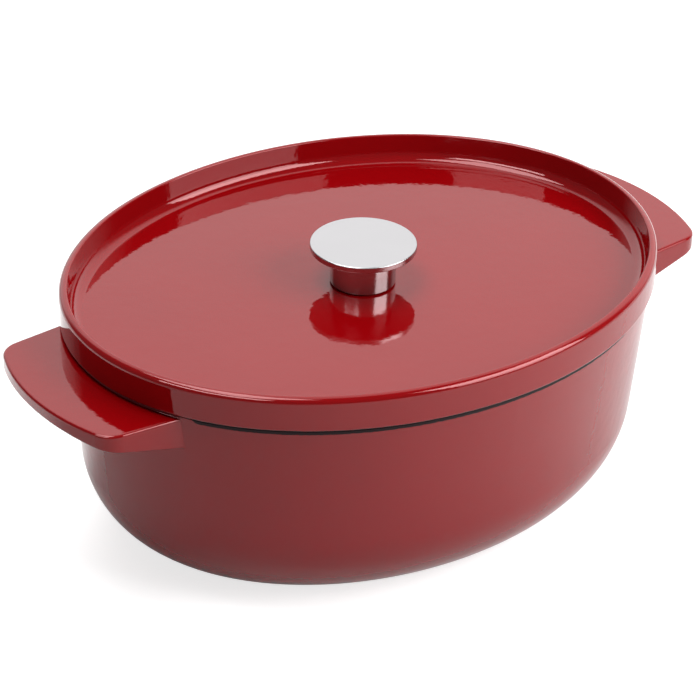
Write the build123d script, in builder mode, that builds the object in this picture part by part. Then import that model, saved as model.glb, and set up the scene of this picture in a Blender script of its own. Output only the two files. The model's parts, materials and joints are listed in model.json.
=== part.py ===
from build123d import *
import os
from math import asin, cos, degrees, pi, radians, sin, tan

# An oval cast-iron casserole with two flat tab handles and a flat, sunk lid that carries a
# stainless steel knob. The pot stands on Z = 0, its length runs along X, and the lid is shut.

# ---------------------------------------------------------------- driving dimensions (mm)
# Outline of the lid, which the pot follows
lid_length = 300.0
lid_width = 243.0
rim_overhang = 2.0            # how far the lid stands out past the pot's wall, all round

# Pot casting
pot_height = 107.8            # base to the face that the lid rests on
pot_wall = 4.5
pot_floor = 5.0
wall_draft = 5.0              # degrees from upright
base_radius = 45.0            # large rounding between the wall and the base
foot_width = 8.0              # ring that the pot stands on
foot_depth = 0.8
pot_rim_radius = 0.3

# Tab handles, cast with the pot
handle_reach = 29.5           # past the lid's end
handle_width = 98.0           # across the handle, at the lid's end
handle_taper = 5.0            # degrees that each side leans in
handle_tip_bow = 107.0        # radius of the curved outer edge
handle_corner_radius = 12.0
handle_flare_radius = 5.0     # between the handle's sides and the wall
handle_drop = 1.5             # below the face that the lid rests on
handle_root_thickness = 12.6  # at the lid's end
handle_tip_thickness = 6.1
handle_top_radius = 1.4
handle_under_radius = 1.6
handle_crease_radius = 0.8    # in the corner between the handle's top and the wall
handle_bury = 16.0            # how far the handle runs on into the pot's wall, where they join
handle_blend = 0.2            # how far inside the wall the flare turns along it

# Black enamel inside the pot and under the lid, run out over both rims
coat = 0.6
coat_edge_inset = 0.4         # the enamel stops this far inside the iron's edge

# Lid casting
band_height = 17.0            # face that rests on the pot, up to the top of the rim
band_foot_radius = 1.6
rim_width = 4.0
rim_outer_radius = 2.7
rim_inner_radius = 1.2
recess_depth = 14.2           # top of the rim, down to the flat panel
recess_draft = 5.0
cove_radius = 6.0             # rounding between the panel and the rim
panel_thickness = 4.6
locating_clearance = 1.0      # between the locating ring and the pot's wall
locating_width = 4.0
locating_depth = 7.0

# Small domes under the lid, where condensed steam gathers and drips
nub_height = 2.5
nub_width = 10.0
nub_rows = ((0.40, 10), (0.70, 18))   # share of the lid's outline, number in the row

# Stainless steel knob
knob_width = 50.6
knob_height = 20.8            # panel to the top of the knob
cap_edge = 3.0                # thickness at the cap's edge
cap_top_chamfer = 0.6
cap_under_chamfer = 0.5
cap_under_slope = 1.5         # extra thickness of the cap beside the stem
cap_spigot = 3.0              # part of the cap that sits inside the stem
cap_spigot_clearance = 0.05
stem_width = 31.2
stem_wall = 1.6
stem_foot = 2.5
stem_foot_chamfer = 0.3
gasket_thickness = 0.8
gasket_inset = 1.3            # the stem's foot covers the gasket's edge

# M6 screw that holds the knob, and what it screws into
thread_width = 6.0
thread_clearance = 0.05
screw_hole_clearance = 0.5
insert_width = 11.0
insert_headroom = 1.0         # between the insert and the cap's spigot
insert_flange_width = 18.0
insert_flange_thickness = 1.5
washer_width = 14.0
washer_thickness = 1.6
screw_head_width = 11.5
screw_head_height = 3.4
screw_head_radius = 1.0
screw_socket_width = 4.0      # across the flats
screw_socket_depth = 2.0
screw_engagement = 8.0        # thread held by the insert

# ---------------------------------------------------------------- heights and insets
draft_slope = tan(radians(wall_draft))
seat = pot_height
cavity_inset = rim_overhang + pot_wall
lining_inset = cavity_inset + coat
rim_top = seat + band_height
panel_top = rim_top - recess_depth
panel_under = panel_top - panel_thickness
lining_under = panel_under - coat
ring_lining_inset = lining_inset + locating_depth * draft_slope + locating_clearance
ring_inset = ring_lining_inset + coat
ring_inner_inset = ring_inset + locating_width
ring_under = seat - locating_depth + coat
coat_top = seat + coat
gasket_top = panel_top + gasket_thickness
foot_top = gasket_top + stem_foot
knob_top = panel_top + knob_height
stem_top = knob_top - cap_edge - cap_under_slope
insert_top = stem_top - cap_spigot - insert_headroom
washer_under = lining_under - washer_thickness
screw_tip = foot_top + screw_engagement
screw_hole_radius = thread_width / 2 + screw_hole_clearance
base_corner = base_radius * tan(radians((90 - wall_draft) / 2))   # wall's foot to the flat base
foot_inset = rim_overhang + seat * draft_slope + base_corner + foot_width


def oval(inset, height):
    """The lid's outline, drawn in by inset all round, at one height, as four quarters."""
    with BuildSketch(Plane.XY.offset(height)) as outline:
        with BuildLine():
            for start in (0, 90, 180, 270):
                EllipticalCenterArc(
                    (0, 0),
                    lid_length / 2 - inset,
                    lid_width / 2 - inset,
                    start_angle=start,
                    arc_size=90,
                )
        make_face()
    return outline.sketch


def drafted(inset, height):
    """The oval of a drafted wall at one height, where inset is the wall's inset at the seat."""
    return oval(inset + (seat - height) * draft_slope, height)


# ---------------------------------------------------------------- handle, made once and mirrored
lid_end = lid_length / 2
handle_top = seat - handle_drop
wall_above_handle = handle_drop - coat - pot_rim_radius   # what the rim's rounding leaves of it
root = lid_end - rim_overhang - handle_bury - handle_corner_radius
side_slope = tan(radians(handle_taper))
under_slope = (handle_root_thickness - handle_tip_thickness) / handle_reach
tip = lid_end + handle_reach
tip_half = handle_width / 2 - side_slope * handle_reach
tip_sag = handle_tip_bow - (handle_tip_bow**2 - tip_half**2) ** 0.5
corner_half = tip_half + side_slope * tip_sag
root_half = handle_width / 2 + side_slope * (lid_end - root)
root_thickness = handle_root_thickness + under_slope * (lid_end - root)
blend_inset = rim_overhang + (handle_drop + root_thickness) * draft_slope + handle_blend

with BuildPart() as handle:
    with BuildSketch(Plane.XY.offset(handle_top)) as handle_plan:
        with BuildLine():
            Line((root, -root_half), (tip - tip_sag, -corner_half))
            ThreePointArc((tip - tip_sag, -corner_half), (tip, 0), (tip - tip_sag, corner_half))
            Line((tip - tip_sag, corner_half), (root, root_half))
            Line((root, root_half), (root, -root_half))
        make_face()
        fillet(handle_plan.vertices().sort_by(Axis.X)[-2:], radius=handle_corner_radius)
        Ellipse(lid_length / 2 - blend_inset, lid_width / 2 - blend_inset)
        where_they_meet = handle_plan.vertices().filter_by_position(Axis.X, root, lid_end - rim_overhang)
        fillet(where_they_meet, radius=handle_flare_radius)
        with Locations((root + lid_length / 2, 0)):
            Rectangle(lid_length, lid_width, mode=Mode.INTERSECT)
    extrude(amount=-root_thickness)
    with BuildSketch(Plane.XZ):
        Polygon(
            (root, handle_top),
            (tip, handle_top),
            (tip, handle_top - handle_tip_thickness),
            (root, handle_top - root_thickness),
            align=None,
        )
    extrude(amount=lid_width, both=True, mode=Mode.INTERSECT)
    under_face = handle.faces().sort_by(Axis.Z)[0]
    fillet(under_face.edges().sort_by(Axis.X)[1:], radius=handle_under_radius)
    top_face = handle.faces().sort_by(Axis.Z)[-1]
    fillet(top_face.edges().sort_by(Axis.X)[1:], radius=handle_top_radius)

# ---------------------------------------------------------------- pot
with BuildPart() as cavity:
    loft([drafted(cavity_inset, pot_floor), drafted(cavity_inset, seat)], ruled=True)
    fillet(cavity.edges().group_by(Axis.Z)[0], radius=base_radius - pot_wall)

with BuildPart() as pot_casting:
    loft([drafted(rim_overhang, 0), drafted(rim_overhang, seat - coat)], ruled=True)
    fillet(pot_casting.edges().group_by(Axis.Z)[0], radius=base_radius)
    extrude(oval(foot_inset, 0), amount=foot_depth, mode=Mode.SUBTRACT)
    add(handle.part)
    add(mirror(handle.part, about=Plane.YZ))
    add(cavity.part, mode=Mode.SUBTRACT)
    rim_face = pot_casting.faces().sort_by(Axis.Z)[-1]
    fillet(rim_face.outer_wire().edges(), radius=pot_rim_radius)
    crease_radius = min(handle_crease_radius, 0.9 * wall_above_handle)
    creases = pot_casting.edges().filter_by(GeomType.BSPLINE)
    creases = creases.filter_by_position(Axis.Z, handle_top - crease_radius / 2, handle_top + crease_radius / 2)
    fillet(creases, radius=crease_radius)
pot_casting.part.label = "pot_casting"

with BuildPart() as pot_lining:
    add(cavity.part)
    with BuildPart(mode=Mode.PRIVATE) as food_space:
        loft([drafted(lining_inset, pot_floor + coat), drafted(lining_inset, seat)], ruled=True)
        fillet(food_space.edges().group_by(Axis.Z)[0], radius=base_radius - pot_wall - coat)
    extrude(oval(rim_overhang + pot_rim_radius + coat_edge_inset, seat - coat), amount=coat)
    add(food_space.part, mode=Mode.SUBTRACT)
pot_lining.part.label = "pot_lining"

# ---------------------------------------------------------------- lid
nub_radius = (nub_width**2 / 4 + nub_height**2) / (2 * nub_height)
nub_centre = panel_under - nub_height + nub_radius
nub_places = [
    (
        share * lid_length / 2 * cos(2 * pi * number / count),
        share * lid_width / 2 * sin(2 * pi * number / count),
    )
    for share, count in nub_rows
    for number in range(count)
]


def nub_caps(radius, base_height):
    """The caps of spheres round the nubs' centres, cut level at base_height."""
    cut_angle = -degrees(asin((nub_centre - base_height) / radius))
    with BuildPart() as caps:
        with Locations(*[(x, y, base_height) for x, y in nub_places]):
            Sphere(radius, -90, cut_angle, align=(Align.CENTER, Align.CENTER, Align.MAX))
    return caps.part


# the part of the casting below the face that rests on the pot
with BuildPart() as lid_underside:
    extrude(oval(ring_inset, ring_under), amount=coat_top - ring_under)
    extrude(oval(ring_inner_inset, ring_under), amount=panel_under - ring_under, mode=Mode.SUBTRACT)
    add(nub_caps(nub_radius, panel_under))

with BuildPart() as recess:
    recess_foot = rim_width + recess_depth * tan(radians(recess_draft))
    loft([oval(recess_foot, panel_top), oval(rim_width, rim_top)], ruled=True)
    fillet(recess.edges().group_by(Axis.Z)[0], radius=cove_radius)

with BuildPart() as lid_casting:
    extrude(oval(0, coat_top), amount=band_height - coat)
    fillet(lid_casting.edges().group_by(Axis.Z)[0], radius=band_foot_radius)
    add(recess.part, mode=Mode.SUBTRACT)
    rim_outside = lid_casting.faces().sort_by(Axis.Z)[-1].outer_wire()
    fillet(rim_outside.edges(), radius=min(rim_outer_radius, 0.68 * rim_width))
    rim_inside = lid_casting.faces().sort_by(Axis.Z)[-1].inner_wires()[0]
    fillet(rim_inside.edges(), radius=min(rim_inner_radius, 0.3 * rim_width))
    add(lid_underside.part)
    with Locations((0, 0, panel_top)):
        Hole(screw_hole_radius)
lid_casting.part.label = "lid_casting"

with BuildPart() as lid_lining:
    extrude(oval(band_foot_radius + coat_edge_inset, seat), amount=coat)
    extrude(oval(ring_lining_inset, ring_under - coat), amount=coat_top - ring_under + coat)
    extrude(
        oval(ring_inner_inset + coat, ring_under - coat),
        amount=lining_under - ring_under + coat,
        mode=Mode.SUBTRACT,
    )
    add(nub_caps(nub_radius + coat, lining_under))
    add(lid_underside.part, mode=Mode.SUBTRACT)
    with Locations((0, 0, coat_top)):
        Hole(screw_hole_radius)
lid_lining.part.label = "lid_lining"

# ---------------------------------------------------------------- knob
with BuildPart() as knob_gasket:
    with BuildSketch(Plane.XY.offset(panel_top)):
        Circle(stem_width / 2 - gasket_inset)
        Circle(screw_hole_radius, mode=Mode.SUBTRACT)
    extrude(amount=gasket_thickness)
knob_gasket.part.label = "knob_gasket"

stem_bore_radius = stem_width / 2 - stem_wall

with BuildPart() as knob_stem:
    with BuildSketch(Plane.XY.offset(gasket_top)):
        Circle(stem_width / 2)
    extrude(amount=stem_top - gasket_top)
    chamfer(knob_stem.edges().group_by(Axis.Z)[0], length=stem_foot_chamfer)
    with BuildSketch(Plane.XY.offset(foot_top)):
        Circle(stem_bore_radius)
    extrude(amount=stem_top - foot_top, mode=Mode.SUBTRACT)
    with Locations((0, 0, foot_top)):
        Hole(screw_hole_radius)
knob_stem.part.label = "knob_stem"

cap_radius = knob_width / 2
spigot_radius = stem_bore_radius - cap_spigot_clearance
with BuildPart() as knob_cap:
    with BuildSketch(Plane.XZ):
        with BuildLine():
            Polyline(
                (0, knob_top),
                (cap_radius - cap_top_chamfer, knob_top),
                (cap_radius, knob_top - cap_top_chamfer),
                (cap_radius, knob_top - cap_edge + cap_under_chamfer),
                (cap_radius - cap_under_chamfer, knob_top - cap_edge),
                (stem_width / 2, stem_top),
                (spigot_radius, stem_top),
                (spigot_radius, stem_top - cap_spigot),
                (0, stem_top - cap_spigot),
                close=True,
            )
        make_face()
    revolve(axis=Axis.Z)
knob_cap.part.label = "knob_cap"

with BuildPart() as knob_insert:
    with BuildSketch(Plane.XY.offset(foot_top)):
        Circle(insert_flange_width / 2)
    extrude(amount=insert_flange_thickness)
    with BuildSketch(Plane.XY.offset(foot_top)):
        Circle(insert_width / 2)
    extrude(amount=insert_top - foot_top)
    with Locations((0, 0, insert_top)):
        Hole(thread_width / 2 + thread_clearance)
knob_insert.part.label = "knob_insert"

with BuildPart() as knob_washer:
    with BuildSketch(Plane.XY.offset(washer_under)):
        Circle(washer_width / 2)
        Circle(screw_hole_radius, mode=Mode.SUBTRACT)
    extrude(amount=washer_thickness)
knob_washer.part.label = "knob_washer"

with BuildPart() as knob_screw:
    with BuildSketch(Plane.XY.offset(washer_under)):
        Circle(screw_head_width / 2)
    extrude(amount=-screw_head_height)
    fillet(knob_screw.edges().group_by(Axis.Z)[0], radius=screw_head_radius)
    with BuildSketch(Plane.XY.offset(washer_under - screw_head_height)):
        RegularPolygon(screw_socket_width / 2, 6, major_radius=False)
    extrude(amount=screw_socket_depth, mode=Mode.SUBTRACT)
    with BuildSketch(Plane.XY.offset(washer_under)):
        Circle(thread_width / 2)
    extrude(amount=screw_tip - washer_under)
knob_screw.part.label = "knob_screw"

# ---------------------------------------------------------------- one STEP file for each piece
pieces = (
    pot_casting,
    pot_lining,
    lid_casting,
    lid_lining,
    knob_gasket,
    knob_stem,
    knob_cap,
    knob_insert,
    knob_washer,
    knob_screw,
)
os.makedirs("parts", exist_ok=True)
for piece in pieces:
    export_step(piece.part, f"parts/{piece.part.label}.step")
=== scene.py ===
import json
from math import cos, hypot, pi, radians, sin, tan

import bmesh
import bpy
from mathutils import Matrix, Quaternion, Vector


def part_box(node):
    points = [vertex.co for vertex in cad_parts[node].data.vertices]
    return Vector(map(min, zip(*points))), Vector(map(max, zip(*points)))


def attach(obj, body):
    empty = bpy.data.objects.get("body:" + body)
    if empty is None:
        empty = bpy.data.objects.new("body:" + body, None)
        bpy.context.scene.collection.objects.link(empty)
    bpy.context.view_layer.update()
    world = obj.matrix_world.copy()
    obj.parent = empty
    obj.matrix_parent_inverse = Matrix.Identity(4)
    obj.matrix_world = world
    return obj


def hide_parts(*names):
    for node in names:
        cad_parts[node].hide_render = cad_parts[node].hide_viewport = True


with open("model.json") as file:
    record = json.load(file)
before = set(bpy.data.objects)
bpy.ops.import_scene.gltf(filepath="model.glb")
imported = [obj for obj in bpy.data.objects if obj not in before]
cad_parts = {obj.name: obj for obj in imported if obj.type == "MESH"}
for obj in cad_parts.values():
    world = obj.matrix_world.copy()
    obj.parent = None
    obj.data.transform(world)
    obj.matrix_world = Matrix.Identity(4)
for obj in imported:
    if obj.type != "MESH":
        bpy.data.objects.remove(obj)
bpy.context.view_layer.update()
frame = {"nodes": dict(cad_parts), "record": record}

print("frame loaded:", ", ".join(sorted(frame["nodes"])))

# metres throughout; the dish's length runs along X, the lid is shut, the floor is at Z = 0
# 1. camera
cameraSetup = {
    "azimuth": radians(-35.87),     # round from the front, which looks along +Y
    "elevation": radians(30.66),
    "distance": 1.3224,
    "aim": Vector((-0.0175, -0.0150, 0.0855)),
    "roll": radians(1.09),
    "lens": 144,
    "sensor": 36,
}


def makeCamera(setup):
    az, el = setup["azimuth"], setup["elevation"]
    back = Vector((sin(az) * cos(el), -cos(az) * cos(el), sin(el)))
    data = bpy.data.cameras.new("camera")
    data.lens = setup["lens"]
    data.sensor_width = setup["sensor"]
    camera = bpy.data.objects.new("camera", data)
    camera.location = setup["aim"] + back * setup["distance"]
    turn = back.to_track_quat("Z", "Y") @ Quaternion((0, 0, 1), setup["roll"])
    camera.rotation_euler = turn.to_euler()
    bpy.context.collection.objects.link(camera)
    bpy.context.scene.camera = camera


makeCamera(cameraSetup)
bpy.context.scene.view_settings.view_transform = "Standard"
print("camera set")


# 2. materials
noiseLow, noiseHigh = 0.3, 0.7      # nearly all values of a noise texture lie between these
mixColours = {"low": 6, "high": 7, "out": 2}      # sockets of a Mix node that blends colours
mixNumbers = {"low": 2, "high": 3, "out": 0}      # and of one that blends numbers


def node(tree, kind, **settings):
    made = tree.nodes.new(kind)
    for name, value in settings.items():
        if name in made.inputs:
            made.inputs[name].default_value = value
        else:
            setattr(made, name, value)
    return made


def newMaterial(name, sockets):
    material = bpy.data.materials.new(name)
    material.use_nodes = True
    tree = material.node_tree
    shader = tree.nodes["Principled BSDF"]
    for socket, value in sockets.items():
        shader.inputs[socket].default_value = value
    coordinates = node(tree, "ShaderNodeTexCoord")
    return material, tree, shader, coordinates.outputs["Object"]


def noise(tree, place, size, detail=2):
    made = node(tree, "ShaderNodeTexNoise", Scale=1 / size, Detail=detail)
    tree.links.new(place, made.inputs["Vector"])
    return made.outputs["Fac"]


def feed(tree, source, socket):
    # a socket takes a number or colour, or the output of another node
    if isinstance(source, bpy.types.NodeSocket):
        tree.links.new(source, socket)
    else:
        socket.default_value = source


def mix(tree, kind, sockets, share, low, high):
    made = node(tree, "ShaderNodeMix", data_type=kind)
    tree.links.new(share, made.inputs["Factor"])
    feed(tree, low, made.inputs[sockets["low"]])
    feed(tree, high, made.inputs[sockets["high"]])
    return made.outputs[sockets["out"]]


def blend(tree, share, low, high):
    return mix(tree, "RGBA", mixColours, share, low, high)


def ramp(tree, value, low, high, start=0, end=1):
    made = node(tree, "ShaderNodeMapRange", interpolation_type="SMOOTHSTEP")
    limits = {"From Min": low, "From Max": high, "To Min": start, "To Max": end}
    for socket, number in limits.items():
        made.inputs[socket].default_value = number
    tree.links.new(value, made.inputs["Value"])
    return made.outputs["Result"]


def calculate(tree, operation, *values):
    made = node(tree, "ShaderNodeMath", operation=operation)
    for socket, value in zip(made.inputs, values):
        feed(tree, value, socket)
    return made.outputs["Value"]


def reachAlong(tree, place, way):
    # how far a place lies in one direction
    made = node(tree, "ShaderNodeVectorMath", operation="DOT_PRODUCT")
    made.inputs[1].default_value = way
    tree.links.new(place, made.inputs[0])
    return made.outputs["Value"]


def roughen(tree, shader, values, smoothest, roughest):
    rough = ramp(tree, values, noiseLow, noiseHigh, smoothest, roughest)
    tree.links.new(rough, shader.inputs["Roughness"])


def unevenness(tree, place, shader, *layers):
    under = None
    for size, height in layers:
        bump = node(tree, "ShaderNodeBump", Strength=1, Distance=height)
        tree.links.new(noise(tree, place, size), bump.inputs["Height"])
        if under:
            tree.links.new(under, bump.inputs["Normal"])
        under = bump.outputs["Normal"]
    tree.links.new(under, shader.inputs["Normal"])


enamel = {
    "red": (0.225, 0.0004, 0.0018, 1),
    "thin": (0.2, 0.0003, 0.0013, 1),      # where the coat lies thinner, in clouds of this size:
    "cloudSize": 0.04,
    "refraction": 1.65,
    "glint": (1, 0.6, 0.61, 1),  # tint of what the coat mirrors
    "shine": 0.5,
    "roughness": 0.05,
    "swell": (0.022, 0.00008),   # size and height of the poured coat's slow unevenness
    "peel": (0.0045, 0.00006),   # and of its fine orange peel
    "seamFrom": 0.1055,          # both rims are left black between these heights
    "seamTo": 0.1088,
    "seamLift": 0.0016,          # the black starts this much higher above the handles
    "liftEnds": (0.0545, 0.057), # from the middle plane, the distances between which that runs out
    "seamBlack": (0.008, 0.008, 0.009, 1),
    "seamRoughness": 0.5,
    "seamShine": 0.15,
    "seamRagged": 0.0009,        # height and length of the waves in the edges of the black
    "seamGrain": 0.0016,
}


def blackSeam(tree, place):
    # 1 where the rims are black, 0 where the coat is red; the noise is a half on average
    split = node(tree, "ShaderNodeSeparateXYZ")
    tree.links.new(place, split.inputs["Vector"])
    grain = noise(tree, place, enamel["seamGrain"], detail=3)
    ragged = calculate(tree, "MULTIPLY", grain, enamel["seamRagged"])
    height = calculate(tree, "ADD", split.outputs["Z"], ragged)
    middle, soft = enamel["seamRagged"] / 2, enamel["seamRagged"] / 6
    low, high = enamel["seamFrom"] + middle, enamel["seamTo"] + middle
    aside = calculate(tree, "ABSOLUTE", split.outputs["Y"])
    lift = ramp(tree, aside, *enamel["liftEnds"], enamel["seamLift"], 0)
    above = ramp(tree, calculate(tree, "SUBTRACT", height, lift), low - soft, low + soft)
    below = ramp(tree, height, high - soft, high + soft, 1, 0)
    return calculate(tree, "MULTIPLY", above, below)


def redEnamel():
    sockets = {"IOR": enamel["refraction"], "Specular Tint": enamel["glint"]}
    material, tree, shader, place = newMaterial("redEnamel", sockets)
    clouds = noise(tree, place, enamel["cloudSize"], detail=3)
    body = blend(tree, clouds, enamel["thin"], enamel["red"])
    seam = blackSeam(tree, place)
    colour = blend(tree, seam, body, enamel["seamBlack"])
    tree.links.new(colour, shader.inputs["Base Color"])
    rough = ramp(tree, seam, 0, 1, enamel["roughness"], enamel["seamRoughness"])
    tree.links.new(rough, shader.inputs["Roughness"])
    shine = ramp(tree, seam, 0, 1, enamel["shine"], enamel["seamShine"])
    tree.links.new(shine, shader.inputs["Specular IOR Level"])
    unevenness(tree, place, shader, enamel["swell"], enamel["peel"])
    return material


lining = {
    "black": (0.008, 0.008, 0.009, 1),
    "grey": (0.02, 0.02, 0.021, 1),
    "speckSize": 0.003,
    "refraction": 1.5,
    "roughness": (0.38, 0.55),
    "roughSize": 0.006,
    "swell": (0.02, 0.00006),    # size and height of the slow unevenness
    "peel": (0.0012, 0.00003),   # and of the fine one
}


def blackEnamel():
    material, tree, shader, place = newMaterial("blackEnamel", {"IOR": lining["refraction"]})
    specks = noise(tree, place, lining["speckSize"], detail=4)
    colour = blend(tree, specks, lining["black"], lining["grey"])
    tree.links.new(colour, shader.inputs["Base Color"])
    roughen(tree, shader, noise(tree, place, lining["roughSize"], detail=3), *lining["roughness"])
    unevenness(tree, place, shader, lining["swell"], lining["peel"])
    return material


gasket = {
    "dark": (0.015, 0.015, 0.015, 1),
    "light": (0.026, 0.025, 0.025, 1),
    "speckSize": 0.004,
    "roughness": 0.6,
}


def silicone():
    material, tree, shader, place = newMaterial("silicone", {"Roughness": gasket["roughness"]})
    specks = noise(tree, place, gasket["speckSize"], detail=3)
    colour = blend(tree, specks, gasket["dark"], gasket["light"])
    tree.links.new(colour, shader.inputs["Base Color"])
    return material


steel = {
    "colour": (0.5, 0.49, 0.5, 1),
    "stemRoughness": (0.13, 0.21),
    "hairline": 0.00025,         # height of the fine lines that run round the stem
    "hairlineStretch": 14,       # how many times longer they are
    "capRoughness": 0.24,
    "capAnisotropy": 0.55,
    "turningPitch": 0.0022,      # rings that the lathe left on the knob's face
    "turningDepth": 0.000004,
    "turningWaver": 0.6,
    "screwRoughness": (0.25, 0.38),
    "screwGrain": 0.002,
}
ringRate = 20 / (2 * pi)         # rings of a wave texture in one unit, at a scale of 1


def newSteel(name, **more):
    return newMaterial(name, {"Metallic": 1, "Base Color": steel["colour"]} | more)


def polishedSteel():
    material, tree, shader, place = newSteel("polishedSteel")
    stretch = node(tree, "ShaderNodeMapping", Scale=(1, 1, steel["hairlineStretch"]))
    tree.links.new(place, stretch.inputs["Vector"])
    longWay = steel["hairline"] * steel["hairlineStretch"]
    lines = noise(tree, stretch.outputs["Vector"], longWay, detail=4)
    roughen(tree, shader, lines, *steel["stemRoughness"])
    return material


def turnedSteel():
    sockets = {"Roughness": steel["capRoughness"], "Anisotropic": steel["capAnisotropy"]}
    material, tree, shader, place = newSteel("turnedSteel", **sockets)
    rings = node(tree, "ShaderNodeTexWave", wave_type="RINGS", rings_direction="Z", Detail=2)
    rings.inputs["Scale"].default_value = 1 / (ringRate * steel["turningPitch"])
    rings.inputs["Distortion"].default_value = steel["turningWaver"]
    tree.links.new(place, rings.inputs["Vector"])
    bump = node(tree, "ShaderNodeBump", Strength=1, Distance=steel["turningDepth"])
    tree.links.new(rings.outputs["Fac"], bump.inputs["Height"])
    tree.links.new(bump.outputs["Normal"], shader.inputs["Normal"])
    around = node(tree, "ShaderNodeTangent", direction_type="RADIAL", axis="Z")
    tree.links.new(around.outputs["Tangent"], shader.inputs["Tangent"])
    return material


def screwSteel():
    material, tree, shader, place = newSteel("screwSteel")
    roughen(tree, shader, noise(tree, place, steel["screwGrain"], detail=4), *steel["screwRoughness"])
    return material


finish = {
    "red_enamelled_iron": redEnamel(),
    "black_enamel": blackEnamel(),
    "gasket_silicone": silicone(),
    "polished_steel": polishedSteel(),
    "brushed_steel_cap": turnedSteel(),
    "screw_steel": screwSteel(),
}
slotOf = {}
for part in frame["record"]["subparts"]:
    slotOf[part["node"]] = part["material_slot"]
    cadObject = frame["nodes"][part["node"]]
    cadObject.data.materials.clear()
    cadObject.data.materials.append(finish[part["material_slot"]])
print("finishes made:", ", ".join(finish))


# 3. turned and cast pieces, spun from half sections
mergeDistance = 1e-6


def halfSection(bm, corners, steps):
    # each corner is its distance from the axis, its height and how far it is rounded
    points = [Vector((reach, 0, height)) for reach, height, rounding in corners]
    verts = [bm.verts.new(point) for point in points]
    for start, end in zip(verts, verts[1:]):
        bm.edges.new((start, end))
    for index, corner in enumerate(corners):
        rounding = corner[2]
        if rounding:
            turn = (points[index] - points[index - 1]).angle(points[index + 1] - points[index])
            bmesh.ops.bevel(
                bm, geom=[verts[index]], offset=rounding * tan(turn / 2), offset_type="OFFSET",
                segments=steps, profile=0.5, affect="VERTICES", material=-1,
            )


def spinRound(bm, steps):
    bmesh.ops.spin(
        bm, geom=bm.verts[:] + bm.edges[:], cent=(0, 0, 0), axis=(0, 0, 1),
        angle=2 * pi, steps=steps, use_merge=True,
    )
    bmesh.ops.remove_doubles(bm, verts=bm.verts[:], dist=mergeDistance)


def finishPiece(bm, name, replaced):
    bmesh.ops.recalc_face_normals(bm, faces=bm.faces[:])
    mesh = bpy.data.meshes.new(name)
    bm.to_mesh(mesh)
    bm.free()
    mesh.shade_smooth()
    piece = bpy.data.objects.new(name, mesh)
    bpy.context.collection.objects.link(piece)
    mesh.materials.append(finish[slotOf[replaced]])
    even = piece.modifiers.new("evenShading", "WEIGHTED_NORMAL")
    even.keep_sharp = True
    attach(piece, "lid")
    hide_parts(replaced)


lid = {
    "around": 240,               # steps round the oval
    "arcSteps": 10,
    "bandHeight": 0.0168,
    "bandFoot": 0.0016,          # rounding of the band's lower edge
    "rimWidth": 0.004,
    "rimOuter": 0.0031,          # roundings of the rim
    "rimInner": 0.0008,
    "recessDepth": 0.0142,
    "recessLean": radians(5),
    "cove": 0.006,               # rounding between the rim's wall and the panel
    "panelThickness": 0.0046,
    "panelEdge": 0.045,          # the flat panel runs from here to the screw hole
    "ringInset": 0.0093,         # locating ring beneath
    "ringWidth": 0.004,
    "holeRadius": 0.0035,
}


def makeLid():
    low, high = (Vector(corner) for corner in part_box("lid_casting"))
    top, ringUnder = high.z, low.z
    panelTop = top - lid["recessDepth"]
    panelUnder = panelTop - lid["panelThickness"]
    bandUnder = top - lid["bandHeight"]
    wallFoot = lid["rimWidth"] + lid["recessDepth"] * tan(lid["recessLean"])
    ringEnd = lid["ringInset"] + lid["ringWidth"]
    outline = (                  # distance in from the edge, height and rounding
        (lid["panelEdge"], panelTop, 0),
        (wallFoot, panelTop, lid["cove"]),
        (lid["rimWidth"], top, lid["rimInner"]),
        (0, top, lid["rimOuter"]),
        (0, bandUnder, lid["bandFoot"]),
        (lid["ringInset"], bandUnder, 0),
        (lid["ringInset"], ringUnder, 0),
        (ringEnd, ringUnder, 0),
        (ringEnd, panelUnder, 0),
        (lid["panelEdge"], panelUnder, 0),
    )
    bm = bmesh.new()
    corners = [(high.y - inset, height, rounding) for inset, height, rounding in outline]
    halfSection(bm, corners, lid["arcSteps"])
    spinRound(bm, lid["around"])
    for vert in bm.verts:        # the round is drawn out lengthwise into the oval
        vert.co.x *= 1 + (high.x - high.y) / hypot(vert.co.x, vert.co.y)
    openEdges = [edge for edge in bm.edges if edge.is_boundary]
    holes = []
    for height in (panelTop, panelUnder):
        circle = bmesh.ops.create_circle(bm, segments=lid["around"], radius=lid["holeRadius"])["verts"]
        bmesh.ops.translate(bm, verts=circle, vec=(0, 0, height))
        hole = list({edge for vert in circle for edge in vert.link_edges})
        near = lid["panelThickness"] / 2
        panelEdge = [edge for edge in openEdges if abs(edge.verts[0].co.z - height) < near]
        bmesh.ops.bridge_loops(bm, edges=panelEdge + hole)
        holes += hole
    bmesh.ops.bridge_loops(bm, edges=holes)
    finishPiece(bm, "enamelledLid", "lid_casting")


makeLid()
print("lid made")

knob = {
    "around": 128,
    "arcSteps": 5,
    "edge": 0.003,               # thickness at the cap's edge
    "topRounding": 0.0006,
    "underRounding": 0.0005,
    "spigotRadius": 0.01395,     # the cap's spigot stands in the stem's bore
    "spigotLength": 0.003,
    "bore": 0.014,
    "footRounding": 0.0003,
    "floor": 0.0025,             # of the hollow stem, with the screw's hole through it
    "holeRadius": 0.0035,
}


def makeTurned(corners, name, replaced):
    bm = bmesh.new()
    halfSection(bm, corners, knob["arcSteps"])
    spinRound(bm, knob["around"])
    finishPiece(bm, name, replaced)


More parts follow.
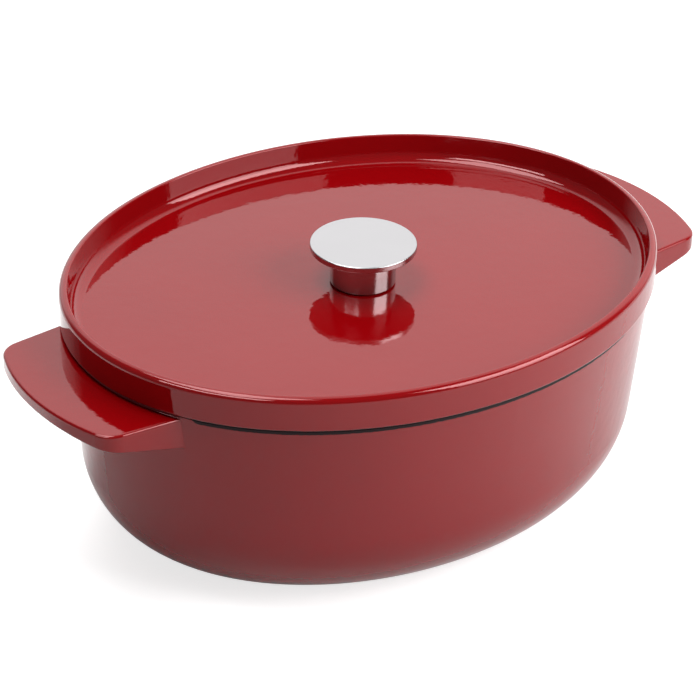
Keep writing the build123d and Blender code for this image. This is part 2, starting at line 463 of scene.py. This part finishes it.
def makeKnob():
    capHigh = Vector(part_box("knob_cap")[1])
    stemLow, stemHigh = (Vector(corner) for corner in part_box("knob_stem"))
    reach, top, stem, seat = capHigh.x, capHigh.z, stemHigh.x, stemHigh.z
    spigotEnd = seat - knob["spigotLength"]
    cap = (
        (0, top, 0),
        (reach, top, knob["topRounding"]),
        (reach, top - knob["edge"], knob["underRounding"]),
        (stem, seat, 0),
        (knob["spigotRadius"], seat, 0),
        (knob["spigotRadius"], spigotEnd, 0),
        (0, spigotEnd, 0),
    )
    makeTurned(cap, "knobCap", "knob_cap")
    foot = stemLow.z
    floorTop = foot + knob["floor"]
    tube = (
        (knob["holeRadius"], floorTop, 0),
        (knob["holeRadius"], foot, 0),
        (stem, foot, knob["footRounding"]),
        (stem, seat, 0),
        (knob["bore"], seat, 0),
        (knob["bore"], floorTop, 0),
        (knob["holeRadius"], floorTop, 0),
    )
    makeTurned(tube, "knobStem", "knob_stem")


makeKnob()
print("knob made")

# 4. floor and light; a turn is in degrees from where the camera looks, + to its right
studio = {
    "floorHalf": 3.0,
    "floorColour": (0.54, 0.54, 0.54, 1),
    "floorRoughness": 0.9,
    "cameraGlow": 0.74,          # makes the floor white to the camera and lights nothing
    "mirroredGlow": (            # seen in reflections: turn, metres that way it rises between, its range
        (90, -0.15, 0.30, 0.08, 0.5),
        (-35, 0.06, 0.13, 0, 0.8),
    ),
    "roomLevel": 0.15,           # of the world's light, apart from the backdrop behind the dish
    "backdropTurn": 4,
    "backdropLevel": 1.3,
    "backdropEdge": (0.45, 0.75),      # cosine of the turn, where the backdrop ends and where it is full
    "backdropFoot": (0.0, 0.2, 0.45),  # sine of the height it rises between, and its share at the foot
    "softboxAim": Vector((0, 0, 0.12)),
}
softboxes = {
    # turn and height in degrees, distance and size in metres, brightness as radiance
    "overhead": {
        "turn": -110, "height": 73, "distance": 1.25, "size": (1.0, 0.55), "radiance": 6.2,
    },
    "rightUpper": {
        "turn": 111, "height": 37, "distance": 1.1, "size": (0.86, 0.46), "radiance": 8.0,
    },
    "rightLower": {
        "turn": 111, "height": 18, "distance": 1.1, "size": (0.86, 0.26), "radiance": 5.6,
    },
    "left": {
        "turn": -140, "height": 43, "distance": 3.0, "size": (2.2, 0.6), "radiance": 9.0,
        "mirroredOnly": True,    # shows in glossy faces and gives matt ones no light
    },
}
white = (1, 1, 1, 1)


def direction(turn, height=0):
    az = cameraSetup["azimuth"] + radians(-turn)
    el = radians(height)
    return Vector((-sin(az) * cos(el), cos(az) * cos(el), sin(el)))


def makeFloor():
    bm = bmesh.new()
    bmesh.ops.create_grid(bm, x_segments=1, y_segments=1, size=studio["floorHalf"])
    mesh = bpy.data.meshes.new("floor")
    bm.to_mesh(mesh)
    bm.free()
    floor = bpy.data.objects.new("floor", mesh)
    bpy.context.collection.objects.link(floor)
    sockets = {
        "Base Color": studio["floorColour"], "Roughness": studio["floorRoughness"], "Emission Color": white,
    }
    material, tree, shader, place = newMaterial("floorPaper", sockets)
    rays = node(tree, "ShaderNodeLightPath")
    mirrored = 0
    for turn, *rise in studio["mirroredGlow"]:
        risen = ramp(tree, reachAlong(tree, place, direction(turn)), *rise)
        mirrored = calculate(tree, "ADD", risen, mirrored)
    glow = calculate(tree, "MULTIPLY", rays.outputs["Is Camera Ray"], studio["cameraGlow"])
    glow = calculate(tree, "MULTIPLY_ADD", rays.outputs["Is Glossy Ray"], mirrored, glow)
    tree.links.new(glow, shader.inputs["Emission Strength"])
    mesh.materials.append(material)


def makeWorld():
    world = bpy.data.worlds.new("studio")
    bpy.context.scene.world = world
    world.use_nodes = True
    tree = world.node_tree
    background = tree.nodes["Background"]
    background.inputs["Color"].default_value = white
    seenWay = node(tree, "ShaderNodeTexCoord").outputs["Generated"]
    level = node(tree, "ShaderNodeVectorMath", operation="MULTIPLY")
    level.inputs[1].default_value = (1, 1, 0)
    tree.links.new(seenWay, level.inputs[0])
    flat = node(tree, "ShaderNodeVectorMath", operation="NORMALIZE")
    tree.links.new(level.outputs["Vector"], flat.inputs[0])
    facing = reachAlong(tree, flat.outputs["Vector"], direction(studio["backdropTurn"]))
    across = ramp(tree, facing, *studio["backdropEdge"], 0, studio["backdropLevel"])
    split = node(tree, "ShaderNodeSeparateXYZ")
    tree.links.new(seenWay, split.inputs["Vector"])
    low, high, share = studio["backdropFoot"]
    upward = ramp(tree, split.outputs["Z"], low, high, share, 1)
    backdrop = calculate(tree, "MULTIPLY_ADD", across, upward, studio["roomLevel"])
    rays = node(tree, "ShaderNodeLightPath")     # the camera itself sees plain white
    seen = mix(tree, "FLOAT", mixNumbers, rays.outputs["Is Camera Ray"], backdrop, 1.0)
    tree.links.new(seen, background.inputs["Strength"])


def makeSoftbox(name, box):
    data = bpy.data.lights.new(name, "AREA")
    data.shape = "RECTANGLE"
    data.size, data.size_y = box["size"]
    data.energy = box["radiance"] * pi * data.size * data.size_y
    light = bpy.data.objects.new(name, data)
    toward = direction(box["turn"], box["height"])
    light.location = studio["softboxAim"] + toward * box["distance"]
    light.rotation_euler = toward.to_track_quat("Z", "Y").to_euler()
    light.visible_camera = False
    light.visible_diffuse = not box.get("mirroredOnly")
    bpy.context.collection.objects.link(light)


makeFloor()
makeWorld()
for name, box in softboxes.items():
    makeSoftbox(name, box)
print("studio made")
